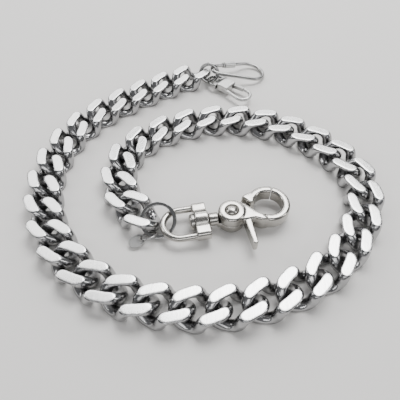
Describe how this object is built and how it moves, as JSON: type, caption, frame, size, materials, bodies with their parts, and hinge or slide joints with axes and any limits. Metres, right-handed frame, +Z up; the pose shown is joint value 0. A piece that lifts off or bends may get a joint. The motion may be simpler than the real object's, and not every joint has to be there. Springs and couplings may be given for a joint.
{
  "type": "wallet chain",
  "caption": "Heavy filed curb-link wallet chain laid in a loose coil, with a swivel trigger snap at one end and a small swivel clip and wire carabiner at the other.",
  "frame": {"origin": "centre of the laid chain's footprint, on the surface it lies on", "axes": "+Z up; +X from the coil's left to its right as laid, along the way the snap points; +Y towards the side where the wallet end lies"},
  "size_m": [0.1424, 0.151, 0.0104],
  "materials": {
    "polished_steel": "polished, flats filed and buffed",
    "plated_snap": "nickel plated, tumbled",
    "ring_wire": "bright drawn wire",
    "satin_steel": "fine brushed"
  },
  "bodies": {
    "link_01": {"link_01": "polished_steel"},
    "link_02": {"link_02": "polished_steel"},
    "link_03": {"link_03": "polished_steel"},
    "link_04": {"link_04": "polished_steel"},
    "link_05": {"link_05": "polished_steel"},
    "link_06": {"link_06": "polished_steel"},
    "link_07": {"link_07": "polished_steel"},
    "link_08": {"link_08": "polished_steel"},
    "link_09": {"link_09": "polished_steel"},
    "link_10": {"link_10": "polished_steel"},
    "link_11": {"link_11": "polished_steel"},
    "link_12": {"link_12": "polished_steel"},
    "link_13": {"link_13": "polished_steel"},
    "link_14": {"link_14": "polished_steel"},
    "link_15": {"link_15": "polished_steel"},
    "link_16": {"link_16": "polished_steel"},
    "link_17": {"link_17": "polished_steel"},
    "link_18": {"link_18": "polished_steel"},
    "link_19": {"link_19": "polished_steel"},
    "link_20": {"link_20": "polished_steel"},
    "link_21": {"link_21": "polished_steel"},
    "link_22": {"link_22": "polished_steel"},
    "link_23": {"link_23": "polished_steel"},
    "link_24": {"link_24": "polished_steel"},
    "link_25": {"link_25": "polished_steel"},
    "link_26": {"link_26": "polished_steel"},
    "link_27": {"link_27": "polished_steel"},
    "link_28": {"link_28": "polished_steel"},
    "link_29": {"link_29": "polished_steel"},
    "link_30": {"link_30": "polished_steel"},
    "link_31": {"link_31": "polished_steel"},
    "link_32": {"link_32": "polished_steel"},
    "link_33": {"link_33": "polished_steel"},
    "link_34": {"link_34": "polished_steel"},
    "link_35": {"link_35": "polished_steel"},
    "link_36": {"link_36": "polished_steel"},
    "link_37": {"link_37": "polished_steel"},
    "link_38": {"link_38": "polished_steel"},
    "split_ring": {"split_ring": "ring_wire"},
    "tag_ring": {"tag_ring": "ring_wire"},
    "tag": {"oval_tag": "satin_steel"},
    "bail": {"swivel_bail": "plated_snap"},
    "snap": {"swivel_post": "plated_snap", "snap_body": "plated_snap", "pivot_pin": "plated_snap", "lever_spring": "ring_wire"},
    "lever": {"snap_lever": "plated_snap"},
    "end_ring": {"end_ring": "ring_wire"},
    "clip_bail": {"clip_bail": "satin_steel"},
    "clip": {"clip_post": "satin_steel", "clip_body": "satin_steel", "gate_pin": "satin_steel"},
    "gate": {"clip_gate": "satin_steel"},
    "carabiner": {"carabiner_wire": "ring_wire"},
    "sleeve": {"carabiner_sleeve": "satin_steel"}
  },
  "joints": [
    {"name": "lever_pivot", "type": "hinge", "parent": "snap", "child": "lever", "pos_m": [0.01209, -0.03034, 0.00645], "axis": [0, 0, 1], "range_deg": [-28, 0], "stiffness_Nm_per_rad": 0.02, "springref_deg": 20.05},
    {"name": "snap_swivel", "type": "hinge", "parent": "bail", "child": "snap", "pos_m": [0.00074, -0.03317, 0.0044], "axis": [0.9703, 0.2419, 0], "continuous": true},
    {"name": "bail_travel", "type": "hinge", "parent": "split_ring", "child": "bail", "pos_m": [-0.01542, -0.03382, 0.00461], "axis": [-0.0367, -0.539, 0.8415], "range_deg": [-6, 40]},
    {"name": "split_ring_swing", "type": "hinge", "parent": "link_38", "child": "split_ring", "pos_m": [-0.01724, -0.03562, 0.0037], "axis": [-0.4503, -0.5763, 0.682], "range_deg": [-25, 18]},
    {"name": "tag_ring_swing", "type": "hinge", "parent": "split_ring", "child": "tag_ring", "pos_m": [-0.01957, -0.03772, 0.00193], "axis": [0.7509, -0.5705, -0.3326], "range_deg": [-30, 2]},
    {"name": "tag_swing", "type": "hinge", "parent": "tag_ring", "child": "tag", "pos_m": [-0.02108, -0.04088, 0.00216], "axis": [0.4424, -0.708, 0.5505], "range_deg": [-8, 60]},
    {"name": "end_ring_swing", "type": "hinge", "parent": "link_01", "child": "end_ring", "pos_m": [-0.00101, 0.06069, 0.00573], "axis": [-0.1547, -0.7987, 0.5815], "range_deg": [-35, 60]},
    {"name": "clip_bail_swing", "type": "hinge", "parent": "end_ring", "child": "clip_bail", "pos_m": [0.00056, 0.0591, 0.0032], "axis": [-0.4772, -0.8788, 0], "range_deg": [-60, 0]},
    {"name": "clip_swivel", "type": "hinge", "parent": "clip_bail", "child": "clip", "pos_m": [0.00594, 0.05577, 0.0032], "axis": [0.7934, -0.6088, 0], "continuous": true},
    {"name": "gate_pivot", "type": "hinge", "parent": "clip", "child": "gate", "pos_m": [0.01192, 0.05395, 0.0032], "axis": [0, 0, 1], "range_deg": [-26, 0], "stiffness_Nm_per_rad": 0.004, "springref_deg": 20.05},
    {"name": "carabiner_swing", "type": "hinge", "parent": "end_ring", "child": "carabiner", "pos_m": [0.00451, 0.06048, 0.00629], "axis": [-0.1638, 0.4039, 0.9], "range_deg": [-60, 20]},
    {"name": "sleeve_slide", "type": "slide", "parent": "carabiner", "child": "sleeve", "axis": [0.8479, 0.4858, -0.2123], "range_m": [0, 0.0046]},
    {"name": "link_20_21", "type": "hinge", "parent": "link_20", "child": "link_21", "pos_m": [0.04384, -0.05354, 0.0037], "axis": [-0.3657, 0.6334, -0.682], "range_deg": [-24, 24]},
    {"name": "link_21_22", "type": "hinge", "parent": "link_21", "child": "link_22", "pos_m": [0.05245, -0.04508, 0.0037], "axis": [0.4894, -0.5435, 0.682], "range_deg": [-24, 24]},
    {"name": "link_22_23", "type": "hinge", "parent": "link_22", "child": "link_23", "pos_m": [0.05911, -0.03502, 0.0037], "axis": [-0.5917, 0.4299, -0.682], "range_deg": [-24, 24]},
    {"name": "link_23_24", "type": "hinge", "parent": "link_23", "child": "link_24", "pos_m": [0.06352, -0.02379, 0.0037], "axis": [0.6681, -0.2975, 0.682], "range_deg": [-24, 24]},
    {"name": "link_24_25", "type": "hinge", "parent": "link_24", "child": "link_25", "pos_m": [0.06551, -0.01188, 0.0037], "axis": [-0.7154, 0.1521, -0.682], "range_deg": [-24, 24]},
    {"name": "link_25_26", "type": "hinge", "parent": "link_25", "child": "link_26", "pos_m": [0.06196, -0.00015, 0.0037], "axis": [0.7154, 0.1521, 0.682], "range_deg": [-24, 24]},
    {"name": "link_26_27", "type": "hinge", "parent": "link_26", "child": "link_27", "pos_m": [0.05393, 0.00913, 0.0037], "axis": [-0.5917, -0.4299, -0.682], "range_deg": [-20, 24]},
    {"name": "link_27_28", "type": "hinge", "parent": "link_27", "child": "link_28", "pos_m": [0.04462, 0.0168, 0.0037], "axis": [0.4894, 0.5435, 0.682], "range_deg": [-24, 24]},
    {"name": "link_28_29", "type": "hinge", "parent": "link_28", "child": "link_29", "pos_m": [0.03392, 0.02237, 0.0037], "axis": [-0.3657, -0.6334, -0.682], "range_deg": [-24, 24]},
    {"name": "link_29_30", "type": "hinge", "parent": "link_29", "child": "link_30", "pos_m": [0.02229, 0.02559, 0.0037], "axis": [0.226, 0.6956, 0.682], "range_deg": [-24, 24]},
    {"name": "link_30_31", "type": "hinge", "parent": "link_30", "child": "link_31", "pos_m": [0.01024, 0.02633, 0.0037], "axis": [-0.0764, -0.7273, -0.682], "range_deg": [-24, 24]},
    {"name": "link_31_32", "type": "hinge", "parent": "link_31", "child": "link_32", "pos_m": [-0.00169, 0.02454, 0.0037], "axis": [-0.0764, 0.7273, 0.682], "range_deg": [-24, 24]},
    {"name": "link_32_33", "type": "hinge", "parent": "link_32", "child": "link_33", "pos_m": [-0.01299, 0.02031, 0.0037], "axis": [0.226, -0.6956, -0.682], "range_deg": [-24, 24]},
    {"name": "link_33_34", "type": "hinge", "parent": "link_33", "child": "link_34", "pos_m": [-0.02317, 0.01382, 0.0037], "axis": [-0.3657, 0.6334, 0.682], "range_deg": [-24, 24]},
    {"name": "link_34_35", "type": "hinge", "parent": "link_34", "child": "link_35", "pos_m": [-0.03177, 0.00536, 0.0037], "axis": [0.4894, -0.5435, -0.682], "range_deg": [-24, 24]},
    {"name": "link_35_36", "type": "hinge", "parent": "link_35", "child": "link_36", "pos_m": [-0.03556, -0.00633, 0.0037], "axis": [-0.6732, 0.2858, 0.682], "range_deg": [-24, 24]},
    {"name": "link_36_37", "type": "hinge", "parent": "link_36", "child": "link_37", "pos_m": [-0.03406, -0.01852, 0.0037], "axis": [0.7309, 0.0255, -0.682], "range_deg": [-24, 24]},
    {"name": "link_37_38", "type": "hinge", "parent": "link_37", "child": "link_38", "pos_m": [-0.02754, -0.02894, 0.0037], "axis": [-0.6516, -0.332, 0.682], "range_deg": [-24, 24]},
    {"name": "link_20_19", "type": "hinge", "parent": "link_20", "child": "link_19", "pos_m": [0.02903, -0.06209, 0.0037], "axis": [0.3657, -0.6334, -0.682], "range_deg": [-24, 24]},
    {"name": "link_19_18", "type": "hinge", "parent": "link_19", "child": "link_18", "pos_m": [0.01766, -0.06603, 0.0037], "axis": [-0.2621, 0.6828, 0.682], "range_deg": [-24, 24]},
    {"name": "link_18_17", "type": "hinge", "parent": "link_18", "child": "link_17", "pos_m": [0.00581, -0.06814, 0.0037], "axis": [0.1521, -0.7154, -0.682], "range_deg": [-24, 24]},
    {"name": "link_17_16", "type": "hinge", "parent": "link_17", "child": "link_16", "pos_m": [-0.00623, -0.06837, 0.0037], "axis": [-0.0383, 0.7304, 0.682], "range_deg": [-24, 24]},
    {"name": "link_16_15", "type": "hinge", "parent": "link_16", "child": "link_15", "pos_m": [-0.01815, -0.06672, 0.0037], "axis": [-0.0764, -0.7273, -0.682], "range_deg": [-24, 24]},
    {"name": "link_15_14", "type": "hinge", "parent": "link_15", "child": "link_14", "pos_m": [-0.02967, -0.06322, 0.0037], "axis": [0.1893, 0.7064, 0.682], "range_deg": [-20, 24]},
    {"name": "link_14_13", "type": "hinge", "parent": "link_14", "child": "link_13", "pos_m": [-0.04017, -0.05727, 0.0037], "axis": [-0.332, -0.6516, -0.682], "range_deg": [-24, 14]},
    {"name": "link_13_12", "type": "hinge", "parent": "link_13", "child": "link_12", "pos_m": [-0.04921, -0.04928, 0.0037], "axis": [0.4603, 0.5684, 0.682], "range_deg": [-10, 24]},
    {"name": "link_12_11", "type": "hinge", "parent": "link_12", "child": "link_11", "pos_m": [-0.05638, -0.03957, 0.0037], "axis": [-0.5684, -0.4603, -0.682], "range_deg": [-24, 10]},
    {"name": "link_11_10", "type": "hinge", "parent": "link_11", "child": "link_10", "pos_m": [-0.06138, -0.02859, 0.0037], "axis": [0.6516, 0.332, 0.682], "range_deg": [-8, 24]},
    {"name": "link_10_09", "type": "hinge", "parent": "link_10", "child": "link_09", "pos_m": [-0.06399, -0.01681, 0.0037], "axis": [-0.7064, -0.1893, -0.682], "range_deg": [-24, 24]},
    {"name": "link_09_08", "type": "hinge", "parent": "link_09", "child": "link_08", "pos_m": [-0.06409, -0.00474, 0.0037], "axis": [0.7304, 0.0383, 0.682], "range_deg": [-24, 24]},
    {"name": "link_08_07", "type": "hinge", "parent": "link_08", "child": "link_07", "pos_m": [-0.06168, 0.00708, 0.0037], "axis": [-0.7223, 0.1144, -0.682], "range_deg": [-24, 24]},
    {"name": "link_07_06", "type": "hinge", "parent": "link_07", "child": "link_06", "pos_m": [-0.05687, 0.01815, 0.0037], "axis": [0.6828, -0.2621, 0.682], "range_deg": [-24, 24]},
    {"name": "link_06_05", "type": "hinge", "parent": "link_06", "child": "link_05", "pos_m": [-0.04986, 0.02797, 0.0037], "axis": [-0.6134, 0.3983, -0.682], "range_deg": [-24, 24]},
    {"name": "link_05_04", "type": "hinge", "parent": "link_05", "child": "link_04", "pos_m": [-0.04096, 0.03612, 0.0037], "axis": [0.5171, -0.5171, 0.682], "range_deg": [-24, 24]},
    {"name": "link_04_03", "type": "hinge", "parent": "link_04", "child": "link_03", "pos_m": [-0.03178, 0.04386, 0.0037], "axis": [-0.4798, 0.552, -0.682], "range_deg": [-24, 24]},
    {"name": "link_03_02", "type": "hinge", "parent": "link_03", "child": "link_02", "pos_m": [-0.02208, 0.05094, 0.0037], "axis": [0.4401, -0.5841, 0.682], "range_deg": [-24, 24]},
    {"name": "link_02_01", "type": "hinge", "parent": "link_02", "child": "link_01", "pos_m": [-0.01192, 0.05733, 0.0037], "axis": [-0.3983, 0.6134, -0.682], "range_deg": [-24, 24]}
  ]
}
